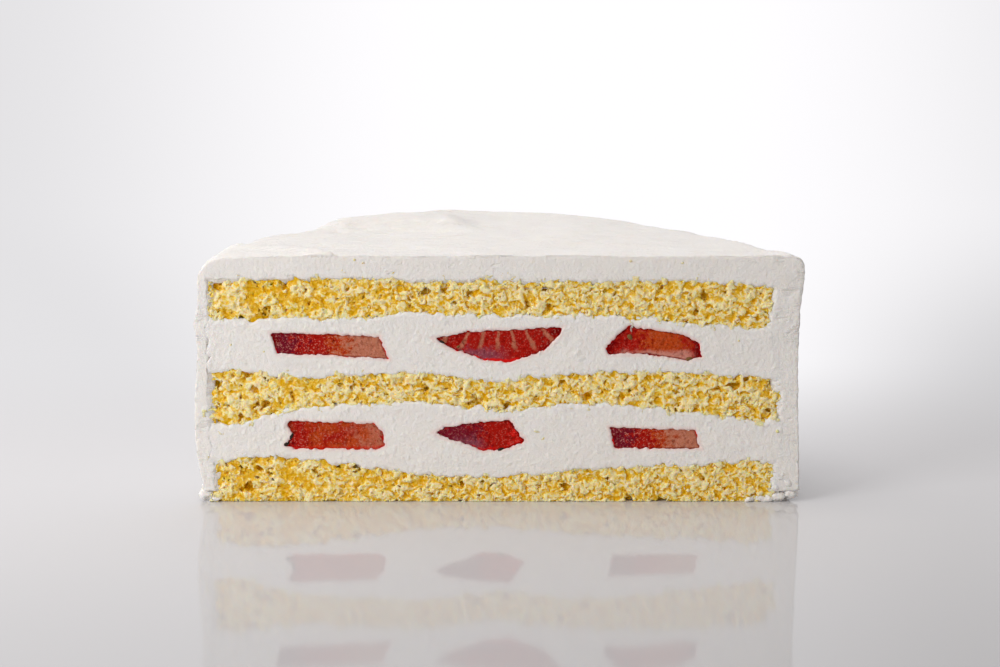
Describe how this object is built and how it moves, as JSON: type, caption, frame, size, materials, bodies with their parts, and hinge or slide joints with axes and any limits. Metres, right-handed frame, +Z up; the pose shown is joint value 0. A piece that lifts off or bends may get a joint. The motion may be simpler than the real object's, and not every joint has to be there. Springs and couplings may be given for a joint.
{
  "type": "shortcake slice",
  "caption": "Half of a round cream cake, cut to show sponge layers, whipped cream and strawberry slices under a smooth coat of cream.",
  "frame": {"origin": "middle of the bounding box's underside, on the surface that the cake stands on", "axes": "+X to the right along the cut face, +Y away from the cut face towards the curved back, +Z up"},
  "size_m": [0.1514, 0.0764, 0.0637],
  "materials": {
    "sponge": "open cut crumb, pale on the ridges and golden in the bubbles",
    "cream": "soft whipped cream, cut and slightly smeared",
    "coat": "smooth spread cream with palette knife marks",
    "strawberry": "moist cut fruit, dark red at the skin and pale at the heart"
  },
  "bodies": {
    "root": {"sponge_bottom": "sponge", "cream_lower": "cream", "sponge_middle": "sponge", "cream_upper": "cream", "sponge_top": "sponge", "coat": "coat", "strawberry_upper_left": "strawberry", "strawberry_upper_middle": "strawberry", "strawberry_upper_right": "strawberry", "strawberry_lower_left": "strawberry", "strawberry_lower_middle": "strawberry", "strawberry_lower_right": "strawberry"}
  },
  "joints": []
}
